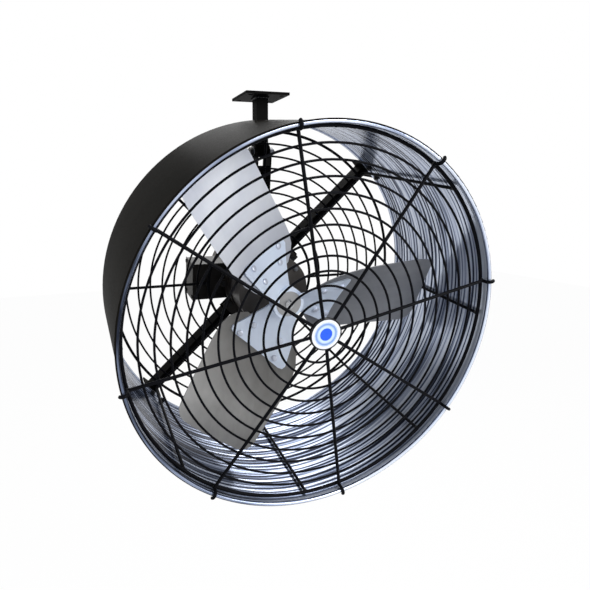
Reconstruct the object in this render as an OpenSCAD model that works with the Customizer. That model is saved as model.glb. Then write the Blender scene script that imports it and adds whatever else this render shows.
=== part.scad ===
// Air circulator fan hung from a ceiling plate.
// A round sheet drum holds a three blade propeller between two wire guards. An eared plate on two
// arms carries the motor at the back, and a hanger pivots on the stem of the ceiling plate.
// Part frame: +Z up, the fan blows towards -Y, the origin is the middle of the ceiling plate's top.
// Fan frame: the same axes before the fan is tilted, with the fan's axis on Y and the front rim at y 0.

/* [Drum] */
// Outside diameter over the rolled front bead
drum_d = 650; // [640:5:670]
// Length of the drum from the middle of the front bead to the rear edge
drum_depth = 275; // [270:5:300]
// Sheet thickness of the drum
drum_wall = 1.2; // [1:0.1:2]
// Radius of the rolled bead at the front rim
bead_r = 3.5; // [3:0.1:4]

/* [Guards] */
// Number of radial wires in each guard
radials = 8; // [8:4:16]
// Thickness of the radial wires
radial_d = 5.5; // [5:0.1:6]
// Thickness of the thin guard rings
ring_d = 3.8; // [3:0.1:4.2]
// Thickness of the hoops
hoop_d = 6; // [5:0.1:6.5]
// Distance from ring to ring in the front guard
ring_pitch = 23.83; // [22:0.01:24]
// Angle of the first front radial, counted from the right as seen from the front
front_phase = 11.6; // [0:0.1:44]
// Distance of the front hoop behind the front rim
hoop_y = 13.7; // [13:0.1:16]

/* [Propeller] */
// Diameter over the blade tips
prop_d = 600; // [560:5:606]
// Distance of the blades' middle behind the front rim
prop_y = 150; // [145:1:160]
// Thickness of the blade sheet
blade_t = 2.5; // [2:0.1:3]
// Radius of the blades' hollow, which faces the front
blade_curve = 300; // [280:5:340]
// Pitch of a blade at its tip
tip_pitch = 20; // [16:0.5:24]
// Pitch of a blade at its root
root_pitch = 36; // [32:0.5:40]
// Angle at which the first blade stands at rest, counted from the right as seen from the front
blade_phase = 122; // [90:1:150]

/* [Motor] */
// Outside diameter of the motor
motor_d = 142; // [138:1:146]
// Distance of the motor's front face behind the front rim
motor_y = 211; // [208:1:216]
// Length of the motor over its end bells
motor_len = 211; // [205:1:230]
// Shaft diameter
shaft_d = 16; // [14:0.5:17]

/* [Rear frame] */
// Reach of the motor plate's ears outside the motor
plate_rim = 21; // [19:0.5:28]
// Thickness of the motor plate
plate_t = 3; // [2.5:0.1:4]
// Width of the two arms as seen from the front
arm_w = 16; // [15:0.5:20]
// Depth of the arms from front to rear
arm_depth = 30; // [26:1:34]

/* [Ceiling bracket] */
// Side of the square ceiling plate
ceiling_w = 88; // [84:1:110]
// Thickness of the ceiling plate
ceiling_t = 5; // [4:0.5:8]
// Distance from hole to hole in the ceiling plate
hole_pitch = 64; // [60:1:66]
// Diameter of the holes in the ceiling plate
hole_d = 9; // [7:0.5:11]
// Side of the square stem tube
stem_w = 24; // [22:0.5:25]
// Distance from the top of the ceiling plate down to the pivot
pivot_drop = 108; // [104:1:160]
// Depth of the pivot below the top of the drum
pivot_in = 65; // [61:1:75]
// Tilt of the fan at rest, with its front down
rest_tilt = 8; // [0:1:20]

/* [Hidden] */
$fn = 64;
wire_fn = 32;
round_fn = 128;
cut = 1;

// Clearances
touch = 0.02;
slip = 0.05;
gap = 0.3;
hole_play = 0.2;

// Drum
drum_r = drum_d / 2;
wall_out = drum_r - bead_r + drum_wall / 2;
wall_in = wall_out - drum_wall;
bead_mid = drum_r - bead_r;
hem_w = 10;
hole_cut = 20;
hem_in = wall_in - drum_wall;

// Guard wires
radial_r = radial_d / 2;
ring_r = ring_d / 2;
hoop_wire = hoop_d / 2;
hoop_r = bead_mid - bead_r - radial_r - slip;
front_radial_rim_y = hoop_y - hoop_wire - radial_r - touch;
front_radial_hub_y = -5;
front_slope = (front_radial_rim_y - front_radial_hub_y) / hoop_r;
front_lean = atan(front_slope);
middle_room = 45;
front_ring_count = floor((hoop_r - middle_room) / ring_pitch);
badge_r = 25;
badge_dot_r = 10.5;
inner_ring_r = badge_r + 0.3;
hook_bend = 3.5;
hook_r = bead_r + radial_r + slip;
hook_wrap = 150;

// Rear guard, between the drum's rear edge and the arms
rear_guard_out = 15.65;
rear_radial_y = drum_depth + rear_guard_out;
rear_bend = 12;
rear_hoop_out = hoop_r - rear_bend - 2;
plate_r = motor_d / 2 + plate_rim;
rear_hoop_gap = 21;
rear_hoop_in = plate_r + rear_hoop_gap;
rear_ring_gaps = 8;
rear_pitch = (rear_hoop_out - rear_hoop_in) / rear_ring_gaps;
rear_ring_y = rear_radial_y - radial_r - ring_r - touch;
rear_hoop_y = rear_radial_y - 2 * radial_r - touch;
rear_radial_in = rear_hoop_in - radial_r;
radial_step = 360 / radials;

// Motor plate, arms and hanger
plate_back = rear_radial_y - radial_r - 0.1;
plate_front = plate_back - plate_t;
arm_front = rear_radial_y + radial_r + 0.2;
arm_t = 2.5;
arm_in = motor_d / 2 + 3;
arm_angles = [45, 225];
tab_t = 3;
tab_w = 44;
tab_r = wall_out + slip;
tab_reach = 37;
tab_front = drum_depth - tab_reach;
strut_bolt_in = 19;
strut_bolt_y = drum_depth - strut_bolt_in;
strut_bolt_off = 14;
hanger_t = 3;
foot_out = plate_r + 4;
foot_off = 16;
foot_half = foot_off + 8;
cheek_in = stem_w / 2 + gap;
cheek_out = cheek_in + hanger_t;
pivot_z = drum_r - pivot_in;
pivot_off = 24;
pivot_y = arm_front + pivot_off;
cheek_r = 16;
cheek_back = pivot_y + cheek_r;
web_gap = 25;
web_top = pivot_z - web_gap;
rim_bolt_r = motor_d / 2 + 0.52 * plate_rim;
rim_w = 7;
ear_r = 8;
foot_turn = asin(foot_off / rim_bolt_r);
foot_x = rim_bolt_r * cos(foot_turn);
foot_angles = concat(arm_angles, [90]);
frame_angles = [for (a = foot_angles) for (s = [-1, 1]) a + s * foot_turn];

// Motor collar
collar_t = 3;
collar_in = motor_d / 2 + slip;
collar_len = 20;
collar_angles = [0, 135, 180, 270];

// Fasteners
m4_r = 2;
m6_r = 3;
m6_head_r = 5.5;
m6_head_h = 4;
m6_nut_r = 5.77;
m6_nut_h = 5;
m10_r = 5;
m10_head_r = 9.2;
m10_head_h = 6.4;
m10_nut_h = 8;
m10_washer_r = 10.5;
m10_washer_t = 2;

// Motor
motor_r = motor_d / 2;
motor_back = motor_y + motor_len;
bell_len = 25;
bell_face = 4;
bell_rim = 6;
shell_t = 2.5;
shell_in = motor_r - shell_t;
spigot_len = 6;
bearing_r = 20;
bearing_w = 12;
bearing_front = motor_y + bell_face + 2;
bearing_back = motor_back - bell_face - 2 - bearing_w;
shaft_r = shaft_d / 2;
core_len = 80;
core_front = motor_y + 65;
core_back = core_front + core_len;
air_gap = 0.5;
rotor_r = motor_r - 33;
coil_in = rotor_r + 4;
coil_out = motor_r - 14;
coil_len = 17.7;
end_ring_len = 6;
end_ring_in = rotor_r - 15;
tie_r = 2.5;
tie_pitch_r = motor_r - 9;
tie_angles = [45, 135, 225, 315];

// Capacitor box at the side of the motor, drawn on its top and turned to the left
box_w = 76;
box_len = 60;
box_h = 73;
box_t = 2;
box_turn = 90;
box_front = arm_front + 8;
box_floor = motor_r - 4;
box_top = box_floor + box_h;
cap_r = 17;
cap_len = box_len - 16;

// Propeller
prop_r = prop_d / 2;
blade_count = 3;
blade_step = 360 / blade_count;
hub_r = 24;
hub_front = prop_y - 14;
hub_len = 42;
spider_t = 4;
blade_root = 52;
tip_r0 = 300;
root_r0 = 60;
axis_tip = [tip_r0, -blade_curve * cos(tip_pitch), -blade_curve * sin(tip_pitch)];
axis_root = [root_r0, -blade_curve * cos(root_pitch), -blade_curve * sin(root_pitch)];
axis_vec = axis_tip - axis_root;
axis_len = norm(axis_vec);
axis_dir = axis_vec / axis_len;
rivet_places = [[68, -26], [68, 22], [94, -40], [102, 28]];
rivet_r = 3;
rivet_head_r = 6;
rivet_head_h = 2;

// A blade's two edges: places outwards from its root and sideways from its middle
fore_edge = [
    [0, 34], [16, 46], [44, 58], [76, 64], [121, 67], [176, 68], [211, 68], [226, 66],
    [236, 61], [242, 54], [247, 44]
];
aft_edge = [
    [0, 46], [10, 60], [24, 71], [44, 77], [76, 79], [176, 79], [211, 79], [224, 77.5],
    [232, 73.5], [238, 67], [243, 57], [247, 44]
];
blade_scale = prop_r / 300;

// Depth of a blade's middle surface at radius r and sideways place t, from the blades' middle
function blade_q(r, t) = [r - axis_root[0], 0, t - axis_root[2]];
function blade_m(r, t) = blade_q(r, t) * axis_dir;
function blade_c(r, t) =
    blade_q(r, t) * blade_q(r, t) - blade_m(r, t) * blade_m(r, t) - blade_curve * blade_curve;
function blade_a2() = 1 - axis_dir[1] * axis_dir[1];
function blade_h(r, t) =
    let (k = blade_m(r, t) * axis_dir[1])
    (k + sqrt(k * k - blade_a2() * blade_c(r, t))) / blade_a2();
function blade_y(r, t) = axis_root[1] + blade_h(r, t);
function blade_normal(r, t) =
    let (q = [r, blade_y(r, t), t] - axis_root)
    (q - (q * axis_dir) * axis_dir) / blade_curve;

// The fan's place under the ceiling plate: tilted about the pivot
module in_fan() {
    translate([0, 0, -pivot_drop]) rotate([rest_tilt, 0, 0]) translate([0, -pivot_y, -pivot_z]) children();
}

// Turns a shape drawn with X outwards to an angle round the fan's axis
module at_angle(a) {
    rotate([0, -a, 0]) children();
}

// A shape drawn along +Z, laid along +Y
module along_y() {
    rotate([-90, 0, 0]) children();
}

// A straight wire in the XY plane
module wire_line(p, q, w) {
    d = q - p;
    translate([p[0], p[1], 0]) rotate([0, 0, atan2(d[1], d[0])]) rotate([0, 90, 0])
        cylinder(r = w, h = norm(d), $fn = wire_fn);
}

// A bent wire in the XY plane, from angle a0 to a1 about point c
module wire_arc(c, bend, a0, a1, w) {
    translate([c[0], c[1], 0]) rotate([0, 0, a0]) rotate_extrude(angle = a1 - a0, $fn = round_fn)
        translate([bend, 0]) circle(r = w, $fn = wire_fn);
}

// A full ring of wire round the fan's axis
module ring_wire(r, y, w) {
    translate([0, y, 0]) along_y() rotate_extrude($fn = round_fn) translate([r, 0])
        circle(r = w, $fn = wire_fn);
}

// A round disc or ring round the fan's axis
module ring_plate(r_out, r_in, y, t, fn = round_fn) {
    translate([0, y, 0]) along_y() difference() {
        cylinder(r = r_out, h = t, $fn = fn);
        translate([0, 0, -cut]) cylinder(r = r_in, h = t + 2 * cut, $fn = fn);
    }
}

// A solid disc round the fan's axis
module disc(r, y, t) {
    translate([0, y, 0]) along_y() cylinder(r = r, h = t, $fn = round_fn);
}

// A hole along Y at an angle and radius, between two depths
module y_hole(a, r, hole_r, y0, y1) {
    at_angle(a) translate([r, y0, 0]) along_y() cylinder(r = hole_r, h = y1 - y0);
}

// A hexagon head or nut drawn from z 0 upwards
module hex(r, h) {
    cylinder(r = r, h = h, $fn = 6);
}

// A nut drawn from z 0 upwards
module nut(r, h, bore) {
    difference() {
        hex(r, h);
        translate([0, 0, -cut]) cylinder(r = bore, h = h + 2 * cut);
    }
}

// Ceiling bracket

module ceiling_plate() {
    color("#26272a") difference() {
        translate([-ceiling_w / 2, -ceiling_w / 2, -ceiling_t]) cube([ceiling_w, ceiling_w, ceiling_t]);
        for (x = [-1, 1]) for (y = [-1, 1])
            translate([x * hole_pitch / 2, y * hole_pitch / 2, -ceiling_t - cut])
                cylinder(r = hole_d / 2, h = ceiling_t + 2 * cut);
    }
}

stem_wall = 2.5;

// The stem's foot is rounded about the pivot, so that it clears the rear guard as the fan tilts
module bracket_stem() {
    len = pivot_drop - ceiling_t;
    hollow = stem_w - 2 * stem_wall;
    color("#2b2c2f") difference() {
        union() {
            translate([-stem_w / 2, -stem_w / 2, -pivot_drop]) cube([stem_w, stem_w, len]);
            translate([-stem_w / 2, 0, -pivot_drop]) rotate([0, 90, 0]) cylinder(r = stem_w / 2, h = stem_w);
        }
        translate([-hollow / 2, -hollow / 2, -pivot_drop - stem_w])
            cube([hollow, hollow, len + stem_w + cut]);
        translate([-stem_w, 0, -pivot_drop]) rotate([0, 90, 0]) cylinder(r = m10_r + slip, h = 2 * stem_w);
    }
}

bolt_face = cheek_out + gap + m10_washer_t;

module pivot_bolt() {
    color("#8f9296") translate([0, 0, -pivot_drop]) rotate([0, 90, 0]) union() {
        translate([0, 0, -bolt_face - m10_head_h]) hex(m10_head_r, m10_head_h);
        translate([0, 0, -bolt_face - cut]) cylinder(r = m10_r, h = 2 * bolt_face + m10_nut_h + 3 + cut);
    }
}

module pivot_nut() {
    color("#8f9296") translate([bolt_face + touch, 0, -pivot_drop]) rotate([0, 90, 0])
        nut(m10_head_r, m10_nut_h, m10_r + touch);
}

module pivot_washers() {
    color("#9a9da1") for (x = [-bolt_face + touch, cheek_out + gap])
        translate([x, 0, -pivot_drop]) rotate([0, 90, 0]) difference() {
            cylinder(r = m10_washer_r, h = m10_washer_t - touch);
            translate([0, 0, -cut]) cylinder(r = m10_r + slip, h = m10_washer_t + 2 * cut);
        }
}

// Drum and guards

module drum() {
    color("#232325") in_fan() difference() {
        union() {
            ring_plate(wall_out, wall_in, 0, drum_depth);
            ring_plate(wall_in + drum_wall / 2, hem_in, drum_depth - hem_w, hem_w);
            ring_wire(bead_mid, 0, bead_r);
        }
        for (a = arm_angles) for (s = [-1, 1])
            at_angle(a) translate([wall_in - hole_cut / 2, strut_bolt_y, s * strut_bolt_off])
                rotate([0, 90, 0]) cylinder(r = m6_r + hole_play, h = hole_cut);
    }
}

module guard_hoop() {
    color("#19191b") in_fan() ring_wire(hoop_r, hoop_y, hoop_wire);
}

function front_radial_y(r) = front_radial_hub_y + front_slope * r;

// Rings behind the radials, and an inner ring between the radials' ends
module front_guard_rings() {
    off = (radial_r + ring_r + touch) / cos(front_lean);
    color("#19191b") in_fan() {
        for (k = [1 : front_ring_count])
            ring_wire(hoop_r - k * ring_pitch, front_radial_y(hoop_r - k * ring_pitch) + off, ring_r);
        ring_wire(inner_ring_r, front_radial_y(inner_ring_r), ring_r);
    }
}

// A front radial, drawn from the rim's bead: hooked over it, then turned inwards to the middle
module front_radial() {
    line_v = front_radial_y(bead_mid) * cos(front_lean);
    bend_v = line_v - hook_bend;
    inner_end = inner_ring_r + ring_r + touch;
    inner_u = -(bead_mid - inner_end - line_v * sin(front_lean)) / cos(front_lean);
    translate([bead_mid, 0, 0]) rotate([0, 0, front_lean]) union() {
        wire_line([inner_u, line_v], [-hook_r - hook_bend, line_v], radial_r);
        wire_arc([-hook_r - hook_bend, bend_v], hook_bend, 0, 90, radial_r);
        wire_line([-hook_r, bend_v], [-hook_r, 0], radial_r);
        wire_arc([0, 0], hook_r, 180, 180 + hook_wrap, radial_r);
    }
}

module front_guard_radials() {
    color("#19191b") in_fan() for (k = [0 : radials - 1])
        at_angle(front_phase + k * radial_step) front_radial();
}

bezel_out = inner_ring_r + ring_r - 0.1;
badge_back_y = front_radial_y(inner_ring_r) - ring_r - 2 * touch;
bezel_depth = 3;
bezel_floor = 1.2;
badge_t = 1.6;
badge_dot_t = 0.8;

module badge_bezel() {
    color("#141416") in_fan() translate([0, badge_back_y, 0]) rotate([90, 0, 0]) difference() {
        cylinder(r = bezel_out, h = bezel_depth);
        translate([0, 0, bezel_floor]) cylinder(r = badge_r + touch, h = bezel_depth);
        translate([0, 0, -cut]) cylinder(r = m4_r + hole_play, h = bezel_floor + 2 * cut);
    }
}

module badge_disc() {
    color("#f2f3f6") in_fan() translate([0, badge_back_y - bezel_floor - touch, 0]) rotate([90, 0, 0])
    difference() {
        cylinder(r = badge_r, h = badge_t);
        translate([0, 0, badge_t - badge_dot_t + touch]) cylinder(r = badge_dot_r + touch, h = badge_t);
    }
}

module badge_centre() {
    color("#2f62e8") in_fan()
        translate([0, badge_back_y - bezel_floor - badge_t + badge_dot_t - 3 * touch, 0])
        rotate([90, 0, 0]) cylinder(r = badge_dot_r, h = badge_dot_t);
}

clamp_t = 1.5;
clamp_y = front_radial_y(inner_ring_r) + ring_r + 2 * touch;

module badge_back_plate() {
    color("#19191b") in_fan() difference() {
        disc(inner_ring_r + 0.7, clamp_y, clamp_t);
        translate([0, clamp_y - cut, 0]) along_y() cylinder(r = m4_r + hole_play, h = clamp_t + 2 * cut);
    }
}

screw_in = 0.8;
screw_head_r = 4.5;
screw_head_h = 3;

module badge_screw() {
    color("#8f9296") in_fan() translate([0, badge_back_y - screw_in, 0]) along_y() union() {
        cylinder(r = m4_r, h = clamp_y - badge_back_y + screw_in + clamp_t + screw_head_h / 2);
        translate([0, 0, clamp_y - badge_back_y + screw_in + clamp_t + touch])
            cylinder(r = screw_head_r, h = screw_head_h);
    }
}

module rear_guard_rings() {
    color("#19191b") in_fan() for (k = [1 : rear_ring_gaps - 1])
        ring_wire(rear_hoop_in + k * rear_pitch, rear_ring_y, ring_r);
}

module rear_guard_hoops() {
    color("#19191b") in_fan() for (r = [rear_hoop_in, rear_hoop_out]) ring_wire(r, rear_hoop_y, radial_r);
}

// A rear radial: straight across the back, then bent forwards along the drum to the front hoop
module rear_radial() {
    union() {
        wire_line([rear_radial_in, rear_radial_y], [hoop_r - rear_bend, rear_radial_y], radial_r);
        wire_arc([hoop_r - rear_bend, rear_radial_y - rear_bend], rear_bend, 0, 90, radial_r);
        wire_line([hoop_r, hoop_y + hoop_wire + touch], [hoop_r, rear_radial_y - rear_bend], radial_r);
    }
}

module rear_guard_radials() {
    color("#19191b") in_fan() for (k = [0 : radials - 1]) at_angle(k * radial_step) rear_radial();
}

// Rear frame

// A flange round the motor: a narrow ring, square ears for the feet and round ones for the collar's bolts
module flange(reach, bore, y, t) {
    difference() {
        union() {
            disc(motor_r + rim_w, y, t);
            for (a = foot_angles) at_angle(a) translate([0, y, -foot_half]) cube([reach, t, 2 * foot_half]);
            for (a = collar_angles) y_hole(a, rim_bolt_r, ear_r, y, y + t);
        }
        disc(bore, y - cut, t + 2 * cut);
        for (a = concat(frame_angles, collar_angles))
            y_hole(a, rim_bolt_r, m6_r + hole_play, y - cut, y + t + cut);
    }
}

module motor_plate() {
    color("#2a2420") in_fan() flange(plate_r, motor_r + 0.5, plate_front, plate_t);
}

// A flat foot for an arm or the hanger, drawn outwards along X, with its two bolt holes still to be cut
module foot() {
    translate([arm_in, arm_front, -foot_half]) cube([foot_out - arm_in, hanger_t, 2 * foot_half]);
}

// The two bolt holes of a foot
module foot_holes() {
    for (s = [-1, 1]) translate([foot_x, arm_front - cut, s * foot_off]) along_y()
        cylinder(r = m6_r + hole_play, h = hanger_t + 2 * cut);
}

// An arm: a channel open to the rear, with a foot at the motor and a tab bent forwards outside the drum
module strut_arm() {
    arm_back = arm_front + arm_depth;
    difference() {
        union() {
            difference() {
                translate([arm_in, arm_front, -arm_w / 2]) cube([tab_r + tab_t - arm_in, arm_depth, arm_w]);
                translate([arm_in - cut, arm_front + arm_t, -arm_w / 2 + arm_t])
                    cube([tab_r - arm_in + cut, arm_depth, arm_w - 2 * arm_t]);
            }
            translate([tab_r, tab_front, -tab_w / 2]) cube([tab_t, arm_back - tab_front, tab_w]);
            foot();
        }
        foot_holes();
        for (s = [-1, 1])
            translate([tab_r - cut, strut_bolt_y, s * strut_bolt_off]) rotate([0, 90, 0])
                cylinder(r = m6_r + hole_play, h = tab_t + 2 * cut);
    }
}

module strut_arms() {
    color("#1c1c1e") in_fan() for (a = arm_angles) at_angle(a) strut_arm();
}

strut_nut_r = wall_in - 0.7;

module strut_bolts() {
    shank = tab_r + tab_t - strut_nut_r + m6_nut_h + 2;
    color("#8f9296") in_fan() for (a = arm_angles) for (s = [-1, 1])
        at_angle(a) translate([tab_r + tab_t + touch, strut_bolt_y, s * strut_bolt_off])
        rotate([0, 90, 0]) union() {
            hex(m6_nut_r, m6_head_h);
            translate([0, 0, -shank]) cylinder(r = m6_r, h = shank + cut);
        }
}

module strut_nuts() {
    color("#8f9296") in_fan() for (a = arm_angles) for (s = [-1, 1])
        at_angle(a) translate([strut_nut_r - m6_nut_h, strut_bolt_y, s * strut_bolt_off]) rotate([0, 90, 0])
            nut(m6_nut_r, m6_nut_h, m6_r + touch);
}

module hanger() {
    color("#1c1c1e") in_fan() difference() {
        union() {
            at_angle(90) foot();
            translate([-cheek_out, arm_front, arm_in]) cube([2 * cheek_out, hanger_t, web_top - arm_in]);
            for (x = [-cheek_out, cheek_in]) translate([x, arm_front, foot_out])
                cube([hanger_t, cheek_back - arm_front, pivot_z - foot_out]);
            for (x = [-cheek_out, cheek_in]) translate([x, pivot_y, pivot_z]) rotate([0, 90, 0])
                cylinder(r = cheek_back - pivot_y, h = hanger_t);
        }
        translate([-2 * cheek_out, pivot_y, pivot_z]) rotate([0, 90, 0])
            cylinder(r = m10_r + slip, h = 4 * cheek_out);
        at_angle(90) foot_holes();
    }
}

module plate_spacers() {
    h = arm_front - plate_back - 2 * touch;
    color("#8f9296") in_fan() for (a = frame_angles) at_angle(a) translate([rim_bolt_r, plate_back + touch, 0])
        along_y() difference() {
            cylinder(r = 7, h = h);
            translate([0, 0, -cut]) cylinder(r = m6_r + hole_play, h = h + 2 * cut);
        }
}

frame_grip = arm_front + hanger_t + touch;

module plate_bolts() {
    shank = frame_grip + m6_nut_h + 2 - collar_bolt_y;
    color("#8f9296") in_fan() for (a = frame_angles) at_angle(a) translate([rim_bolt_r, collar_bolt_y, 0])
        along_y() union() {
            translate([0, 0, -m6_head_h]) hex(m6_nut_r, m6_head_h);
            translate([0, 0, -cut]) cylinder(r = m6_r, h = shank + cut);
        }
}

module plate_nuts() {
    color("#8f9296") in_fan() for (a = frame_angles) at_angle(a) translate([rim_bolt_r, frame_grip, 0])
        along_y() nut(5.4, m6_nut_h, m6_r + touch);
}

// Motor

module motor_collar() {
    color("#1c1c1e") in_fan() union() {
        flange(plate_r - 1, collar_in, plate_front - touch - collar_t, collar_t);
        ring_plate(collar_in + collar_t, collar_in, plate_front - touch - collar_len, collar_len);
    }
}

collar_bolt_y = plate_front - collar_t - 2 * touch;

module collar_bolts() {
    shank = plate_t + collar_t + m6_nut_h + 2;
    color("#8f9296") in_fan() for (a = collar_angles) at_angle(a) translate([rim_bolt_r, collar_bolt_y, 0])
        along_y() union() {
            translate([0, 0, -m6_head_h]) hex(m6_nut_r, m6_head_h);
            translate([0, 0, -cut]) cylinder(r = m6_r, h = shank + cut);
        }
}

module collar_nuts() {
    color("#8f9296") in_fan() for (a = collar_angles) at_angle(a) translate([rim_bolt_r, plate_back + touch, 0])
        along_y() nut(m6_nut_r, m6_nut_h, m6_r + touch);
}

module motor_shell() {
    color("#1a1a1c") in_fan() ring_plate(motor_r, shell_in, motor_y + bell_len, motor_len - 2 * bell_len);
}

// An end bell: outer face at y 0, open towards +Y
module end_bell() {
    difference() {
        union() {
            ring_plate(motor_r, shaft_r + 1, 0, bell_face);
            ring_plate(motor_r, motor_r - bell_rim, 0, bell_len - touch);
            ring_plate(shell_in - touch, motor_r - bell_rim, 1, bell_len + spigot_len - 1);
            ring_plate(bearing_r + 5, bearing_r + touch, 1, bearing_w + 6);
            ring_plate(bearing_r + 5, shaft_r + 1, 0, bell_face + 2 - touch);
        }
        for (a = tie_angles) y_hole(a, tie_pitch_r, tie_r + 0.15, -cut, bell_face + cut);
    }
}

module front_end_bell() {
    color("#1e1e20") in_fan() translate([0, motor_y, 0]) end_bell();
}

module rear_end_bell() {
    color("#1e1e20") in_fan() translate([0, motor_back, 0]) mirror([0, 1, 0]) end_bell();
}

module front_bearing() {
    color("#9a9da1") in_fan() ring_plate(bearing_r, shaft_r + slip, bearing_front, bearing_w);
}

module rear_bearing() {
    color("#9a9da1") in_fan() ring_plate(bearing_r, shaft_r + slip, bearing_back, bearing_w);
}

module stator_core() {
    color("#6d7074") in_fan() difference() {
        ring_plate(shell_in - touch, rotor_r + air_gap, core_front, core_len);
        for (a = tie_angles) y_hole(a, tie_pitch_r, tie_r + 0.6, core_front - cut, core_back + cut);
    }
}

// One end of the windings, with rounded edges
module coil(y) {
    mid = (coil_in + coil_out) / 2;
    half = (coil_out - coil_in) / 2;
    translate([0, y, 0]) along_y() rotate_extrude($fn = round_fn) translate([mid, 0]) union() {
        translate([-half, 5]) square([2 * half, coil_len - 10]);
        translate([-half + 5, 0]) square([2 * half - 10, coil_len]);
        for (x = [-1, 1]) for (z = [5, coil_len - 5])
            translate([x * (half - 5), z]) circle(r = 5, $fn = wire_fn);
    }
}

module windings() {
    color("#a8642c") in_fan() {
        coil(core_front - coil_len - touch);
        coil(core_back + touch);
    }
}

module through_bolts() {
    color("#8f9296") in_fan() for (a = tie_angles) at_angle(a) translate([tie_pitch_r, motor_y - 6, 0])
        along_y() union() {
            cylinder(r = tie_r, h = motor_len + 6 + cut);
            translate([0, 0, motor_len + 6 + touch]) hex(4.6, 3.5);
        }
}

module through_nuts() {
    color("#8f9296") in_fan() for (a = tie_angles) at_angle(a) translate([tie_pitch_r, motor_y - 4 - touch, 0])
        along_y() nut(4.6, 4, tie_r + touch);
}

// The box's walls end on the round motor shell
module capacitor_box() {
    low = 24;
    color("#241f1b") in_fan() at_angle(box_turn) difference() {
        translate([-box_w / 2, box_front, box_floor - low]) cube([box_w, box_len, box_h + low]);
        translate([-box_w / 2 + box_t, box_front + box_t, box_floor - low - 1])
            cube([box_w - 2 * box_t, box_len - 2 * box_t, box_h + low + 2]);
        translate([0, box_front - cut, 0]) along_y()
            cylinder(r = motor_r + touch, h = box_len + 2 * cut, $fn = round_fn);
        translate([0, box_front + box_len - 5, box_top - 13]) along_y() cylinder(r = 8 + slip, h = 10);
    }
}

box_screw_y = [box_front + 6, box_front + box_len - 6];

module box_cover() {
    color("#241f1b") in_fan() at_angle(box_turn) difference() {
        translate([-box_w / 2 - 1, box_front - 1, box_top + touch]) cube([box_w + 2, box_len + 2, box_t]);
        for (y = box_screw_y) for (x = [-1, 1])
            translate([x * (box_w / 2 - 6), y, box_top - cut]) cylinder(r = 2 + hole_play, h = 5);
    }
}

module box_screws() {
    color("#8f9296") in_fan() at_angle(box_turn) for (y = box_screw_y) for (x = [-1, 1])
        translate([x * (box_w / 2 - 6), y, box_top - 8]) union() {
            cylinder(r = 2, h = 8 + box_t + cut);
            translate([0, 0, 8 + box_t + 2 * touch]) cylinder(r = 3.8, h = 2);
        }
}

module capacitor() {
    color("#2c2f36") in_fan() at_angle(box_turn) translate([0, box_front + 7, motor_r + cap_r + 0.3])
        along_y() cylinder(r = cap_r, h = cap_len);
}

module cable_gland() {
    y = box_front + box_len;
    color("#141416") in_fan() at_angle(box_turn) translate([0, y, box_top - 13]) along_y() difference() {
        union() {
            translate([0, 0, -4]) cylinder(r = 8, h = 6);
            translate([0, 0, touch]) hex(11, 5);
            translate([0, 0, 4]) cylinder(r = 8.5, h = 11);
        }
        translate([0, 0, -5]) cylinder(r = 4.5, h = 30);
    }
}

// Propeller and rotor

key_w = 5;
shaft_front = hub_front - 4;
shaft_back = bearing_back + bearing_w + 2;

module shaft() {
    color("#b4b7bb") in_fan() difference() {
        union() {
            translate([0, shaft_front, 0]) along_y() cylinder(r = shaft_r, h = shaft_back - shaft_front);
            disc(shaft_r + 3, bearing_front + bearing_w + gap, 4);
            disc(shaft_r + 3, bearing_back - gap - 4, 4);
        }
        translate([-key_w / 2, shaft_front - cut, shaft_r - 3]) cube([key_w, hub_len + cut, 5]);
    }
}

module rotor_core() {
    color("#6d7074") in_fan() ring_plate(rotor_r, shaft_r + touch, core_front, core_len);
}

module rotor_end_rings() {
    color("#a9adb3") in_fan() for (y = [core_front - end_ring_len - touch, core_back + touch])
        ring_plate(rotor_r - 3, end_ring_in, y, end_ring_len);
}

module in_rotor() {
    in_fan() translate([0, prop_y, 0]) children();
}

// Sheet between two radii about the blade's curved axis, wide enough for one blade
module blade_sheet(r_out, r_in) {
    translate(axis_root) rotate([0, acos(axis_dir[2]), atan2(axis_dir[1], axis_dir[0])])
        translate([0, 0, -120]) difference() {
            cylinder(r = r_out, h = axis_len + 240, $fn = 256);
            translate([0, 0, -cut]) cylinder(r = r_in, h = axis_len + 240 + 2 * cut, $fn = 256);
        }
}

// A flat outline drawn in X and Z, given depth along Y
module outline(points) {
    rotate([90, 0, 0]) translate([0, 0, -110]) linear_extrude(220) polygon(points);
}

// Rivet holes through a blade and its arm
module rivet_holes(r) {
    for (p = rivet_places) rivet_at(p) translate([0, 0, -15]) cylinder(r = r, h = 30, $fn = wire_fn);
}

// Places a shape drawn along +Z square to the blade at radius and side p
module rivet_at(p) {
    n = blade_normal(p[0], p[1]);
    translate([p[0], blade_y(p[0], p[1]), p[1]]) rotate([0, acos(n[2]), atan2(n[1], n[0])]) children();
}

blade_outline = concat(
    [for (e = fore_edge) [blade_root + e[0] * blade_scale, e[1] * blade_scale]],
    [[prop_r + 8, 24 * blade_scale], [prop_r + 8, -24 * blade_scale]],
    [for (k = [len(aft_edge) - 1 : -1 : 0])
        [blade_root + aft_edge[k][0] * blade_scale, -aft_edge[k][1] * blade_scale]]
);

module blade(k) {
    color("#c9ccd4") in_rotor() at_angle(blade_phase + k * blade_step) difference() {
        intersection() {
            blade_sheet(blade_curve + blade_t / 2, blade_curve - blade_t / 2);
            outline(blade_outline);
            translate([0, -110, 0]) along_y() cylinder(r = prop_r, h = 220, $fn = 256);
        }
        rivet_holes(rivet_r + slip);
    }
}

module blade_a() {
    blade(0);
}

module blade_b() {
    blade(1);
}

module blade_c() {
    blade(2);
}

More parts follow.
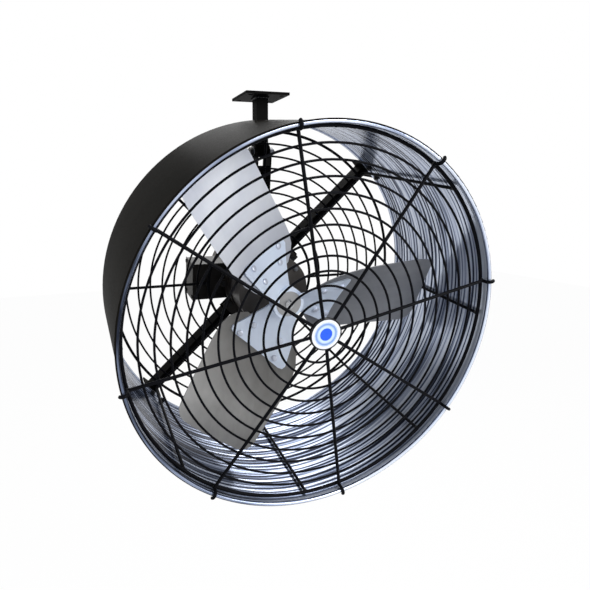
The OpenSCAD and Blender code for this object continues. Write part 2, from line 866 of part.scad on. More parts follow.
// An arm of the spider, which lies on the blade's hollow side and widens to nearly the blade's width
arm_outline = [
    [5, 16], [30, 25], [62, 35], [106, 44], [113, 42], [115, 36],
    [104, -20], [99, -52], [95, -58], [88, -59], [62, -44], [30, -27], [5, -16]
];

hub_sleeve_front = 13;
hub_sleeve_len = 22;

module spider() {
    color("#7d8085") in_rotor() difference() {
        union() {
            for (k = [0 : blade_count - 1]) at_angle(blade_phase + k * blade_step) difference() {
                intersection() {
                    blade_sheet(blade_curve - blade_t / 2 - touch, blade_curve - blade_t / 2 - touch - spider_t);
                    outline(arm_outline);
                }
                rivet_holes(rivet_r + slip);
            }
            translate([0, -hub_sleeve_front, 0]) along_y() cylinder(r = hub_r + 6, h = hub_sleeve_len);
        }
        translate([0, -40, 0]) along_y() cylinder(r = hub_r + touch, h = 80);
    }
}

module hub() {
    color("#8d9095") in_rotor() difference() {
        translate([0, hub_front - prop_y, 0]) along_y() cylinder(r = hub_r, h = hub_len);
        translate([0, hub_front - prop_y - cut, 0]) along_y() cylinder(r = shaft_r + touch, h = hub_len + 2 * cut);
        translate([-key_w / 2 - touch, hub_front - prop_y - cut, 0])
            cube([key_w + 2 * touch, hub_len + 2 * cut, shaft_r + 2.2]);
        translate([0, hub_front - prop_y + hub_len - 8, 0]) cylinder(r = 3 + touch, h = hub_r + cut);
    }
}

module hub_key() {
    color("#6d7074") in_fan() translate([-key_w / 2 + touch, hub_front, shaft_r - 3 + touch])
        cube([key_w - 2 * touch, hub_len - 16, 5]);
}

module set_screw() {
    color("#3a3b3e") in_rotor() translate([0, hub_front - prop_y + hub_len - 8, shaft_r + 2.5])
        cylinder(r = 3, h = hub_r - shaft_r - 3);
}

module blade_rivets() {
    below = blade_t / 2 + 4 * touch + spider_t;
    above = blade_t / 2 + 4 * touch;
    color("#a9acb2") in_rotor() for (k = [0 : blade_count - 1]) at_angle(blade_phase + k * blade_step)
        for (p = rivet_places) rivet_at(p) union() {
            translate([0, 0, -below - rivet_head_h]) cylinder(r = rivet_head_r, h = rivet_head_h, $fn = wire_fn);
            translate([0, 0, -below - cut]) cylinder(r = rivet_r, h = below + above + 2 * cut, $fn = wire_fn);
            translate([0, 0, above]) cylinder(r = rivet_head_r, h = rivet_head_h, $fn = wire_fn);
        }
}

ceiling_plate();
bracket_stem();
pivot_bolt();
pivot_nut();
pivot_washers();
drum();
guard_hoop();
front_guard_rings();
front_guard_radials();
badge_bezel();
badge_disc();
badge_centre();
badge_back_plate();
badge_screw();
rear_guard_rings();
rear_guard_hoops();
rear_guard_radials();
motor_plate();
strut_arms();
strut_bolts();
strut_nuts();
hanger();
plate_spacers();
plate_bolts();
plate_nuts();
motor_collar();
collar_bolts();
collar_nuts();
motor_shell();
front_end_bell();
rear_end_bell();
front_bearing();
rear_bearing();
stator_core();
windings();
through_bolts();
through_nuts();
capacitor_box();
box_cover();
box_screws();
capacitor();
cable_gland();
shaft();
rotor_core();
rotor_end_rings();
hub();
hub_key();
set_screw();
spider();
blade_a();
blade_b();
blade_c();
blade_rivets();
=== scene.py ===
"""Looks for the ceiling-hung air circulator fan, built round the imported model."""
import math

import bmesh
import bpy
import numpy as np
from mathutils import Matrix, Vector


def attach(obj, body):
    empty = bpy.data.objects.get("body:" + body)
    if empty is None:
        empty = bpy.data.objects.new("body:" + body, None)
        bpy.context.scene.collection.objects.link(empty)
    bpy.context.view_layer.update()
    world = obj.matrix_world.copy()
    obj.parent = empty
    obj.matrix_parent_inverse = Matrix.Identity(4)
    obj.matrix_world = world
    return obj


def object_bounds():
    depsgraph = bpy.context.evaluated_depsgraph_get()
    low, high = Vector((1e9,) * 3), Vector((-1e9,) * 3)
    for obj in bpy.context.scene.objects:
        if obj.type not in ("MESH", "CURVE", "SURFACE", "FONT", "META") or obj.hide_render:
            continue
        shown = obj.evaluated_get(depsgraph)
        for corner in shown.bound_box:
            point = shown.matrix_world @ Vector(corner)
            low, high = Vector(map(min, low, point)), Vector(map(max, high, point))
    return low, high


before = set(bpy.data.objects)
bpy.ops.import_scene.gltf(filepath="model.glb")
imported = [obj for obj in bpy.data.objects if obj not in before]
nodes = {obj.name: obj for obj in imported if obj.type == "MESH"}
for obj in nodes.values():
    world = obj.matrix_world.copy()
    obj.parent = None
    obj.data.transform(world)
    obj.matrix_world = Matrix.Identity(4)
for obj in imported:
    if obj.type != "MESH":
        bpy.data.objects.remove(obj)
cad_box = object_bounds()

# The fan's own frame (axis on Y, front rim at y 0) and its place under the ceiling plate, in metres
TILT = math.radians(8)
PIVOT = Vector((0, 0.3176, 0.26))
DROP = 0.108
TURN = Matrix.Rotation(TILT, 3, "X")
ALONG = Vector((0, 1, 0))
AXIS = TURN @ ALONG


def place(p):
    """A point of the fan's frame in the part's frame."""
    return TURN @ (Vector(p) - PIVOT) + Vector((0, 0, -DROP))


RIM_CENTRE = place((0, 0, 0))

# Drum: the middle of its wall, the bead at its front rim, and how far outside that middle the bead is bare
WALL_MID = 0.32155
BEAD_R = 0.0035
BEAD_BARE = 0.0010

# Both guards: their radial wires, and the hoop inside the rim that both sets are welded to
RADIALS = 8
RADIAL_R = 0.00275
HOOP_R = 0.3152
HOOP_Y = 0.0137
HOOP_WIRE = 0.003

# Front guard: turn of its radials in degrees, and a shallow cone of rings with a small ring in the middle
FRONT_PHASE = 11.6
FRONT_RINGS = 11
RING_PITCH = 0.02383
FRONT_MIDDLE_Y = -0.005
FRONT_SLOPE = 0.04103
INNER_RING_R = 0.0253
INNER_RING_WIRE = 0.0019

# Rear guard: a flat set of rings from its inner hoop outwards
REAR_Y = 0.29065
REAR_IN = 0.113
REAR_PITCH = 0.023525
REAR_GAPS = 8

# Bracket
CEILING_T = 0.005
STEM_W = 0.024

# Weld beads on the guards: radius, flatness along the axis, and how their swelling changes from bead to bead
SPOT = 0.0029
BIG_SPOT = 0.0036
SPOT_FLAT = 0.66
SPOT_SWELL = 0.14
SWELL_BY_ANGLE = 3.7
SWELL_BY_RADIUS = 900

# Weld bead round the top of the stem: its size, its rippled surface, and the steps of its path
STEM_WELD_R = 0.0027
STEM_WELD_OUT = 0.0006
STEM_WELD_CORNER = 0.0022
STEM_WELD_FLAT = 0.9
RIPPLE = 0.13
RIPPLE_STEP = 1.9
SIDE_STEPS = 26
CORNER_STEPS = 6
WELD_SIDES = 10

# Domes on the rivets' ends. Points closer than the last size are one point of a rivet's mesh
DOME_R = 0.0057
DOME_RISE = 0.0015
DOME_SINK = 0.00005
DOME_SIDES = 20
DOME_STEPS = 4
SAME_POINT = 0.000002

# Camera at the photograph's place, in the fan's frame, with its focal length and centre in pixels
CAM_PLACE = (-0.3710, -0.6595, 0.3115)
CAM_RIGHT = (0.9508, -0.3083, 0.0299)
CAM_VIEW = (0.3031, 0.9060, -0.2955)
FRAME_PX = 590
FOCAL_PX = 504.7
CENTRE_PX = (235.5, 280.6)
SENSOR_MM = 36
CLIP_START = 0.01

# World, lamps and floor. Each lamp has its place from the drum's middle, its side in metres and its watts
WORLD_TINT = (0.92, 0.95, 1.0, 1)
WORLD_LEVEL = 0.38
WHITE = (1, 1, 1, 1)
MIDDLE_Y = 0.14
LAMPS = {
    "key": ((1.35, -2.0, 1.15), 2.2, 76),
    "fill": ((-2.4, -0.9, 0.9), 2.0, 18),
    "rim": ((0.8, 2.1, 1.3), 1.8, 34),
}
FLOOR_SIDE = 14
FLOOR_BELOW = 0.9
FLOOR_COLOUR = (0.95, 0.95, 0.95, 1)
FLOOR_ROUGH = 0.7
FLOOR_SHINE = 0.1
FLOOR_GLOW = 0.97

# The range that most values of a noise lie in. A noise is given by its scale, detail and roughness
NOISE_LOW = 0.3
NOISE_HIGH = 0.7

# All plain looks: noise of the colour, detail and roughness of the fine grain, and how far the gloss varies
PLAIN_BROAD = (9, 4, 0.5)
PLAIN_GRAIN = (3, 0.6)
GLOSSIER = 0.05
DULLER = 0.06

# Drum: specular level and bump in metres on both sides, and the satin black paint outside
DRUM_SHINE = 0.0015
DRUM_BUMP = 0.00006
PAINT = [(0.3, (0.0062, 0.0058, 0.0050)), (0.75, (0.0135, 0.0124, 0.0104))]
PAINT_BROAD = (7, 6, 0.65)
PAINT_GRAIN = (420, 2, 0.5)
PAINT_ROUGH = (0.34, 0.44)

# Drum inside: bare sheet with drawing marks, and bright and dark bands painted in as reflections and shadows
# of the guard rings. Each kind has a scale round the drum, one along it and a noise
SHEET_AND_PAINTED_REFLECTIONS = [
    (0.40, (0.018, 0.022, 0.036)),
    (0.46, (0.15, 0.18, 0.26)),
    (0.505, (0.42, 0.48, 0.64)),
    (0.58, (0.76, 0.82, 0.95)),
]
SHEET_ROUGH = (0.10, 0.22)
SHEET_METALLIC = 0.62
WIDE_MARKS_AND_PAINTED_REFLECTIONS = (0.55, 150, (1.0, 2, 0.5))
NARROW_MARKS_AND_PAINTED_REFLECTIONS = (1.5, 330, (1.0, 3, 0.6))
DRIFT_MARKS_AND_PAINTED_REFLECTIONS = (0.7, 14, (1.0, 2, 0.5))

# How the marks and painted reflections add up, with waves in radians per metre, and a tone of painted shade
# and reflection that rises towards the drum's right side
WIDE_SHARE = 0.6
NARROW_SHARE = 0.4
WAVE_RATE = 680
WAVE_DRIFT = 9
WAVE_SHARE = 0.07
PAINTED_LIGHT_SIDE = Vector((0.94, 0, 0.34))
PAINTED_LIGHT_CHANGE = 0.050
PAINTED_LIGHT_DROP = 0.020
MARK_HEIGHT = 8
GRAIN_HEIGHT = 0.7

# Blades: smears and grain squeezed along the part's Y, and painted shade near the hub that fades as the
# radius grows
SMEAR_SQUEEZE = (1.2, 7, 1.2)
SMEAR = (6, 5, 0.6)
SMEAR_SHARE = 0.5
BLADE_BROAD = (7, 4, 0.5)
GRAIN_SQUEEZE = (1, 14, 1)
BLADE_GRAIN = (160, 3, 0.5)
ROOT_SHADE_IN = 0.09
ROOT_SHADE_OUT = 0.24
ROOT_SHADE_SHARE = 0.70
ROOT_SHADE_TONE = 0.45
BLADE_METALLIC = 0.3
BLADE_SHINE = 0.2
BLADE_ROUGH = (0.42, 0.54)
BLADE_BUMP = 0.00003

# Each blade's material, with its dark and its light tone. The three blades are one sheet, painted as lit and
# shaded copies: blade_a painted lit, blade_b and blade_c painted in shade
BLADES = {
    "blade_a": ("blade_sheet_painted_lit", (0.64, 0.67, 0.76), (0.92, 0.94, 0.98)),
    "blade_b": ("blade_sheet_painted_half_shade", (0.23, 0.222, 0.208), (0.56, 0.55, 0.53)),
    "blade_c": ("blade_sheet_painted_shade", (0.25, 0.256, 0.275), (0.39, 0.397, 0.415)),
}

# Badge: white disc with a pale blue band between two radii
BAND_IN = 0.0105
BAND_OUT = 0.026
BAND_WAVER = 0.0016
BAND = [
    (0.0, (0.50, 0.68, 0.98)),
    (0.25, (0.62, 0.76, 0.97)),
    (0.48, (0.16, 0.30, 0.66)),
    (0.62, (0.45, 0.58, 0.86)),
    (0.72, (0.82, 0.84, 0.88)),
]
BADGE_GRAIN = (420, 3, 0.5)
BADGE_ROUGH = (0.24, 0.34)
BADGE_SHINE = 0.3
BADGE_BUMP = 0.00003

# Paints, platings and plastics: name, colour, metallic, roughness, spread of colour, scale of the grain,
# bump in metres, specular level and, for the windings alone, how much the grain is squeezed
LOOKS = {
    "guard": ("guard_coating", (0.0034, 0.0036, 0.0050), 0.0, 0.42, 0.25, 500, 0.00004, 0.04),
    "bracket": ("bracket_paint", (0.0052, 0.0050, 0.0047), 0.0, 0.42, 0.25, 380, 0.00006, 0.006),
    "plate": ("plate_paint", (0.022, 0.018, 0.015), 0.0, 0.5, 0.3, 300, 0.00005, 0.2),
    "motor": ("motor_paint", (0.085, 0.076, 0.069), 0.0, 0.42, 0.2, 420, 0.00005, 0.3),
    "box": ("box_paint", (0.010, 0.0085, 0.0075), 0.0, 0.5, 0.3, 300, 0.00005, 0.15),
    "weld": ("weld_bead", (0.0055, 0.0055, 0.0065), 0.0, 0.34, 0.3, 900, 0.00012, 0.22),
    "black_bolt": ("black_oxide", (0.012, 0.012, 0.013), 0.0, 0.4, 0.2, 600, 0.00003, 0.2),
    "rivet": ("rivet_metal", (0.60, 0.64, 0.74), 0.45, 0.34, 0.1, 300, 0.00002, 0.5),
    "spider": ("spider_plating", (0.72, 0.80, 0.96), 0.25, 0.36, 0.1, 300, 0.00002, 0.5),
    "zinc": ("zinc_plating", (0.30, 0.31, 0.33), 1.0, 0.38, 0.15, 300, 0.00002, 0.5),
    "hub": ("hub_steel", (0.40, 0.40, 0.41), 1.0, 0.38, 0.15, 300, 0.00002, 0.5),
    "shaft": ("shaft_steel", (0.5, 0.51, 0.53), 1.0, 0.22, 0.15, 300, 0.00002, 0.5),
    "lamination": ("lamination_steel", (0.16, 0.165, 0.17), 1.0, 0.5, 0.15, 300, 0.00002, 0.5),
    "bearing": ("bearing_steel", (0.6, 0.61, 0.63), 1.0, 0.12, 0.15, 300, 0.00002, 0.5),
    "cage": ("cage_metal", (0.45, 0.46, 0.48), 1.0, 0.5, 0.15, 300, 0.00002, 0.5),
    "copper": ("winding_varnish", (0.45, 0.17, 0.06), 0.85, 0.35, 0.2, 700, 0.0002, 0.5, (1, 9, 1)),
    "bezel": ("bezel_plastic", (0.006, 0.006, 0.008), 0.0, 0.4, 0.1, 600, 0.00003, 0.2),
    "badge_blue": ("badge_blue", (0.020, 0.105, 0.76), 0.0, 0.3, 0.10, 500, 0.00002, 0.25),
    "gland": ("gland_plastic", (0.008, 0.008, 0.009), 0.0, 0.42, 0.1, 600, 0.00004, 0.3),
    "capacitor": ("capacitor_case", (0.03, 0.035, 0.045), 0.0, 0.4, 0.1, 400, 0.00003, 0.5),
}

# The nodes that wear each look. Every other node is zinc-plated
WEARERS = {
    "drum": ("drum",),
    "guard": ("guard_hoop", "front_guard_rings", "front_guard_radials", "badge_back_plate",
              "rear_guard_rings", "rear_guard_hoops", "rear_guard_radials"),
    "bezel": ("badge_bezel",),
    "badge_white": ("badge_disc",),
    "badge_blue": ("badge_centre",),
    "bracket": ("ceiling_plate", "bracket_stem", "strut_arms", "hanger"),
    "plate": ("motor_collar", "motor_plate"),
    "motor": ("motor_shell", "front_end_bell", "rear_end_bell"),
    "box": ("capacitor_box", "box_cover"),
    "bearing": ("front_bearing", "rear_bearing"),
    "lamination": ("stator_core", "rotor_core"),
    "copper": ("windings",),
    "cage": ("rotor_end_rings",),
    "capacitor": ("capacitor",),
    "gland": ("cable_gland",),
    "shaft": ("shaft",),
    "hub": ("hub",),
    "spider": ("spider",),
    "rivet": ("blade_rivets",),
    "blade_a": ("blade_a",),
    "blade_b": ("blade_b",),
    "blade_c": ("blade_c",),
    "black_bolt": ("plate_bolts", "strut_bolts", "collar_bolts", "box_screws", "pivot_bolt",
                   "plate_spacers", "strut_nuts"),
}


# Camera

def make_camera():
    """The camera at the photograph's place."""
    data = bpy.data.cameras.new("camera")
    cam = bpy.data.objects.new("camera", data)
    bpy.context.scene.collection.objects.link(cam)
    back = -(TURN @ Vector(CAM_VIEW)).normalized()
    right = TURN @ Vector(CAM_RIGHT)
    right = (right - right.dot(back) * back).normalized()
    up = back.cross(right)
    spin = Matrix((right, up, back)).transposed()
    cam.matrix_world = Matrix.Translation(place(CAM_PLACE)) @ spin.to_4x4()
    data.sensor_width = SENSOR_MM
    data.sensor_fit = "HORIZONTAL"
    data.lens = SENSOR_MM * FOCAL_PX / FRAME_PX
    data.shift_x = (FRAME_PX / 2 - CENTRE_PX[0]) / FRAME_PX
    data.shift_y = (CENTRE_PX[1] - FRAME_PX / 2) / FRAME_PX
    data.clip_start = CLIP_START
    bpy.context.scene.camera = cam


# Node helpers

def new_material(name):
    """A node material with its output and shader alone."""
    m = bpy.data.materials.new(name)
    m.use_nodes = True
    tree = m.node_tree
    tree.nodes.clear()
    out = tree.nodes.new("ShaderNodeOutputMaterial")
    shader = tree.nodes.new("ShaderNodeBsdfPrincipled")
    tree.links.new(shader.outputs["BSDF"], out.inputs["Surface"])
    return m, tree, shader


def feed(tree, target, value):
    """Links a socket to an input, or sets a plain value on it."""
    if isinstance(value, bpy.types.NodeSocket):
        tree.links.new(value, target)
    else:
        target.default_value = value


def coords(tree, scale=(1, 1, 1)):
    """Object coordinates, scaled."""
    tex = tree.nodes.new("ShaderNodeTexCoord")
    mapping = tree.nodes.new("ShaderNodeMapping")
    mapping.inputs["Scale"].default_value = scale
    tree.links.new(tex.outputs["Object"], mapping.inputs["Vector"])
    return mapping.outputs["Vector"]


def noise(tree, vector, scale, detail, rough):
    """The value of a noise texture."""
    n = tree.nodes.new("ShaderNodeTexNoise")
    n.inputs["Scale"].default_value = scale
    n.inputs["Detail"].default_value = detail
    n.inputs["Roughness"].default_value = rough
    tree.links.new(vector, n.inputs["Vector"])
    return n.outputs["Fac"]


def remap(tree, value, lo, hi, out_lo, out_hi):
    """A value mapped from one range to another."""
    r = tree.nodes.new("ShaderNodeMapRange")
    r.inputs["From Min"].default_value = lo
    r.inputs["From Max"].default_value = hi
    r.inputs["To Min"].default_value = out_lo
    r.inputs["To Max"].default_value = out_hi
    tree.links.new(value, r.inputs["Value"])
    return r.outputs["Result"]


def gloss(tree, grain, limits):
    """A roughness between two limits that follows a noise."""
    return remap(tree, grain, NOISE_LOW, NOISE_HIGH, *limits)


def ramp(tree, value, stops):
    """A colour ramp with (place, colour) stops."""
    r = tree.nodes.new("ShaderNodeValToRGB")
    points = r.color_ramp.elements
    while len(points) < len(stops):
        points.new(0.5)
    for point, (at, colour) in zip(points, stops):
        point.position = at
        point.color = (*colour, 1)
    tree.links.new(value, r.inputs["Fac"])
    return r.outputs["Color"]


def mix_colour(tree, fac, a, b):
    """Colour a at 0 and colour b at 1, each a socket or a plain colour."""
    m = tree.nodes.new("ShaderNodeMix")
    m.data_type = "RGBA"
    tree.links.new(fac, m.inputs["Factor"])
    for socket, colour in (("A", a), ("B", b)):
        target = [s for s in m.inputs if s.name == socket and s.type == "RGBA"][0]
        feed(tree, target, (*colour, 1) if isinstance(colour, tuple) else colour)
    return [s for s in m.outputs if s.type == "RGBA"][0]


def maths(tree, kind, a, b=0):
    """One step of arithmetic on sockets or numbers."""
    m = tree.nodes.new("ShaderNodeMath")
    m.operation = kind
    feed(tree, m.inputs[0], a)
    feed(tree, m.inputs[1], b)
    return m.outputs["Value"]


def weighted(tree, a, factor_a, b, factor_b):
    """The sum of two values, each times its factor."""
    first = maths(tree, "MULTIPLY", a, factor_a)
    second = maths(tree, "MULTIPLY", b, factor_b)
    return maths(tree, "ADD", first, second)


def vector_maths(tree, kind, a, b=None):
    """The outputs of one step of arithmetic on vectors."""
    m = tree.nodes.new("ShaderNodeVectorMath")
    m.operation = kind
    feed(tree, m.inputs[0], a)
    if b is not None:
        feed(tree, m.inputs[1], b)
    return m.outputs


def scaled(tree, vector, factor):
    """A vector times a number."""
    m = tree.nodes.new("ShaderNodeVectorMath")
    m.operation = "SCALE"
    feed(tree, m.inputs[0], vector)
    feed(tree, m.inputs["Scale"], factor)
    return m.outputs["Vector"]


def bump(tree, shader, height, distance):
    """Bumps the shader's surface by a height value, in metres."""
    b = tree.nodes.new("ShaderNodeBump")
    b.inputs["Distance"].default_value = distance
    b.inputs["Strength"].default_value = 1.0
    tree.links.new(height, b.inputs["Height"])
    tree.links.new(b.outputs["Normal"], shader.inputs["Normal"])


def axis_measures(tree):
    """Distance from the fan's axis, depth along it, and the line from the axis turned a quarter round it."""
    tex = tree.nodes.new("ShaderNodeTexCoord")
    rel = vector_maths(tree, "SUBTRACT", tex.outputs["Object"], RIM_CENTRE)["Vector"]
    depth = vector_maths(tree, "DOT_PRODUCT", rel, AXIS)["Value"]
    turned = vector_maths(tree, "CROSS_PRODUCT", rel, AXIS)["Vector"]
    radius = vector_maths(tree, "LENGTH", turned)["Value"]
    return radius, depth, turned


# Materials

def plain(name, colour, metallic, rough, spread, grain, depth, shine, squeeze=(1, 1, 1)):
    """Paint, plating or plastic: small changes of colour and gloss over a fine grain."""
    m, tree, shader = new_material(name)
    vec = coords(tree, squeeze)
    broad = noise(tree, vec, *PLAIN_BROAD)
    fine = noise(tree, vec, grain, *PLAIN_GRAIN)
    low = tuple(c * (1 - spread) for c in colour)
    high = tuple(min(1.0, c * (1 + spread)) for c in colour)
    tint = ramp(tree, broad, [(NOISE_LOW, low), (NOISE_HIGH, high)])
    tree.links.new(tint, shader.inputs["Base Color"])
    tree.links.new(gloss(tree, fine, (rough - GLOSSIER, rough + DULLER)), shader.inputs["Roughness"])
    shader.inputs["Metallic"].default_value = metallic
    shader.inputs["Specular IOR Level"].default_value = shine
    bump(tree, shader, fine, depth)
    return m


def drawing_marks_and_painted_reflections(tree, turned, depth, round_scale, depth_scale, grain):
    """A noise that changes slowly round the drum and fast along its depth."""
    unit = vector_maths(tree, "NORMALIZE", turned)["Vector"]
    slow = scaled(tree, unit, round_scale)
    fast = scaled(tree, AXIS, maths(tree, "MULTIPLY", depth, depth_scale))
    return noise(tree, vector_maths(tree, "ADD", slow, fast)["Vector"], *grain)


def drum_material():
    """Satin black outside; inside, bare sheet with marks of drawing and bright and dark bands of painted
    reflections and shadows of the guard rings.
    """
    m, tree, shader = new_material("drum_two_sided")
    radius, depth, turned = axis_measures(tree)
    on_bead = maths(tree, "LESS_THAN", depth, BEAD_R)
    edge = maths(tree, "ADD", maths(tree, "MULTIPLY", on_bead, BEAD_BARE), WALL_MID)
    bare = maths(tree, "LESS_THAN", radius, edge)
    vec = coords(tree)
    broad = noise(tree, vec, *PAINT_BROAD)
    fine = noise(tree, vec, *PAINT_GRAIN)
    wide = drawing_marks_and_painted_reflections(tree, turned, depth, *WIDE_MARKS_AND_PAINTED_REFLECTIONS)
    narrow = drawing_marks_and_painted_reflections(tree, turned, depth, *NARROW_MARKS_AND_PAINTED_REFLECTIONS)
    drift = drawing_marks_and_painted_reflections(tree, turned, depth, *DRIFT_MARKS_AND_PAINTED_REFLECTIONS)
    # Painted reflections and shadows of the guard rings: fine bright and dark lines about every 9 mm of
    # depth, which also bump the sheet
    wave = maths(tree, "SINE", weighted(tree, depth, WAVE_RATE, drift, WAVE_DRIFT))
    both = weighted(tree, wide, WIDE_SHARE, narrow, NARROW_SHARE)
    lines = maths(tree, "ADD", both, maths(tree, "MULTIPLY", wave, WAVE_SHARE))
    # Painted shade and reflection: the inside is painted darker on its lower left and lighter towards its
    # right side
    bright = TURN @ PAINTED_LIGHT_SIDE.cross(ALONG) / WALL_MID
    side = vector_maths(tree, "DOT_PRODUCT", turned, bright)["Value"]
    tone = maths(tree, "SUBTRACT", maths(tree, "MULTIPLY", side, PAINTED_LIGHT_CHANGE), PAINTED_LIGHT_DROP)
    marks_and_painted_reflections = maths(tree, "ADD", lines, tone)
    # Inside, this ramp paints reflections and shadows of the guard rings into the sheet's colour; outside it
    # is the paint
    colour = mix_colour(tree, bare, ramp(tree, broad, PAINT), ramp(tree, marks_and_painted_reflections, SHEET_AND_PAINTED_REFLECTIONS))
    tree.links.new(colour, shader.inputs["Base Color"])
    tree.links.new(maths(tree, "MULTIPLY", bare, SHEET_METALLIC), shader.inputs["Metallic"])
    blend = tree.nodes.new("ShaderNodeMix")
    tree.links.new(bare, blend.inputs["Factor"])
    tree.links.new(gloss(tree, fine, PAINT_ROUGH), blend.inputs["A"])
    tree.links.new(gloss(tree, narrow, SHEET_ROUGH), blend.inputs["B"])
    tree.links.new(blend.outputs["Result"], shader.inputs["Roughness"])
    shader.inputs["Specular IOR Level"].default_value = DRUM_SHINE
    waves = maths(tree, "MULTIPLY", marks_and_painted_reflections, bare)
    bump(tree, shader, weighted(tree, waves, MARK_HEIGHT, fine, GRAIN_HEIGHT), DRUM_BUMP)
    return m


def blade_material(name, low, high):
    """Rolled aluminium sheet with painted shade towards the root, a faint grain and soft smears."""
    m, tree, shader = new_material(name)
    radius = axis_measures(tree)[0]
    smear = noise(tree, coords(tree, SMEAR_SQUEEZE), *SMEAR)
    broad = noise(tree, coords(tree), *BLADE_BROAD)
    fine = noise(tree, coords(tree, GRAIN_SQUEEZE), *BLADE_GRAIN)
    mixed = weighted(tree, smear, SMEAR_SHARE, broad, 1 - SMEAR_SHARE)
    sheet = ramp(tree, mixed, [(NOISE_LOW, low), (NOISE_HIGH, high)])
    # Painted shade: the colour is darkened near the hub and fades out as the radius grows
    root_shade = remap(tree, radius, ROOT_SHADE_IN, ROOT_SHADE_OUT, ROOT_SHADE_SHARE, 0.0)
    shaded_root = tuple(c * ROOT_SHADE_TONE for c in low)
    tree.links.new(mix_colour(tree, root_shade, sheet, shaded_root), shader.inputs["Base Color"])
    shader.inputs["Metallic"].default_value = BLADE_METALLIC
    shader.inputs["Specular IOR Level"].default_value = BLADE_SHINE
    tree.links.new(gloss(tree, fine, BLADE_ROUGH), shader.inputs["Roughness"])
    bump(tree, shader, fine, BLADE_BUMP)
    return m


def badge_material():
    """White disc with a soft pale blue band round its middle."""
    m, tree, shader = new_material("badge_white")
    radius = axis_measures(tree)[0]
    mottle = noise(tree, coords(tree), *BADGE_GRAIN)
    shifted = maths(tree, "ADD", radius, maths(tree, "MULTIPLY", mottle, BAND_WAVER))
    band = ramp(tree, remap(tree, shifted, BAND_IN, BAND_OUT, 0, 1), BAND)
    tree.links.new(band, shader.inputs["Base Color"])
    tree.links.new(gloss(tree, mottle, BADGE_ROUGH), shader.inputs["Roughness"])
    shader.inputs["Specular IOR Level"].default_value = BADGE_SHINE
    bump(tree, shader, mottle, BADGE_BUMP)
    return m


# Small pieces

def new_piece(name, bm, body, material):
    """Turns a bmesh into a smooth object that rides on a body."""
    mesh = bpy.data.meshes.new(name)
    bmesh.ops.recalc_face_normals(bm, faces=bm.faces)
    bm.to_mesh(mesh)
    bm.free()
    for face in mesh.polygons:
        face.use_smooth = True
    obj = bpy.data.objects.new(name, mesh)
    bpy.context.scene.collection.objects.link(obj)
    mesh.materials.append(material)
    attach(obj, body)


def skin(bm, low, high):
    """A band of faces between two rings of points."""
    for s in range(len(low)):
        t = (s + 1) % len(low)
        bm.faces.new((low[s], low[t], high[t], high[s]))


def weld_spot(bm, angle, radius, y, size):
    """One flattened weld bead on a guard, given by its angle in degrees, radius and depth."""
    a = math.radians(angle)
    out = Vector((math.cos(a), 0, math.sin(a)))
    side = out.cross(ALONG)
    swell = 1 + SPOT_SWELL * math.sin(angle * SWELL_BY_ANGLE + radius * SWELL_BY_RADIUS)
    made = bmesh.ops.create_icosphere(bm, subdivisions=2, radius=1)
    for v in made["verts"]:
        p = out * (v.co.x * size * swell) + side * (v.co.z * size) + ALONG * (v.co.y * size * SPOT_FLAT)
        v.co = place(out * radius + Vector((0, y, 0)) + p)


def guard_welds(material):
    """Weld beads where the guards' wires cross."""
    front = bmesh.new()
    rear = bmesh.new()
    for k in range(RADIALS):
        a = FRONT_PHASE + k * 360 / RADIALS
        for n in range(FRONT_RINGS + 1):
            r = HOOP_R - n * RING_PITCH
            y = FRONT_MIDDLE_Y + FRONT_SLOPE * r + RADIAL_R
            weld_spot(front, a, r, y, BIG_SPOT if n == 0 else SPOT)
        r = INNER_RING_R + INNER_RING_WIRE
        weld_spot(front, a, r, FRONT_MIDDLE_Y + FRONT_SLOPE * r, SPOT)
        b = k * 360 / RADIALS
        for n in range(REAR_GAPS + 1):
            size = BIG_SPOT if n in (0, REAR_GAPS) else SPOT
            weld_spot(rear, b, REAR_IN + n * REAR_PITCH, REAR_Y - RADIAL_R, size)
        weld_spot(rear, b, HOOP_R, HOOP_Y + HOOP_WIRE, BIG_SPOT)
    new_piece("front_guard_welds", front, "housing", material)
    new_piece("rear_guard_welds", rear, "housing", material)


def stem_weld(material):
    """A rippled weld bead round the top of the square stem."""
    half = STEM_W / 2 + STEM_WELD_OUT
    flat = half - STEM_WELD_CORNER
    path = []
    for quarter in range(4):
        turn = Matrix.Rotation(math.radians(90 * quarter), 3, "Z")
        for n in range(SIDE_STEPS):
            point = Vector((half, -flat + 2 * flat * n / SIDE_STEPS, 0))
            path.append((turn @ point, turn @ Vector((1, 0, 0))))
        for n in range(CORNER_STEPS):
            a = math.radians(90 * n / CORNER_STEPS)
            away = Vector((math.cos(a), math.sin(a), 0))
            path.append((turn @ (Vector((flat, flat, 0)) + away * STEM_WELD_CORNER), turn @ away))
    bm = bmesh.new()
    rings = []
    for n, (point, away) in enumerate(path):
        r = STEM_WELD_R * (1 + RIPPLE * math.sin(n * RIPPLE_STEP))
        centre = point + Vector((0, 0, -CEILING_T - STEM_WELD_OUT))
        ring = []
        for s in range(WELD_SIDES):
            b = 2 * math.pi * s / WELD_SIDES
            up = Vector((0, 0, r * math.sin(b) * STEM_WELD_FLAT))
            ring.append(bm.verts.new(centre + away * (r * math.cos(b)) + up))
        rings.append(ring)
    for low, high in zip(rings, rings[1:] + rings[:1]):
        skin(bm, low, high)
    new_piece("stem_weld", bm, "bracket", material)


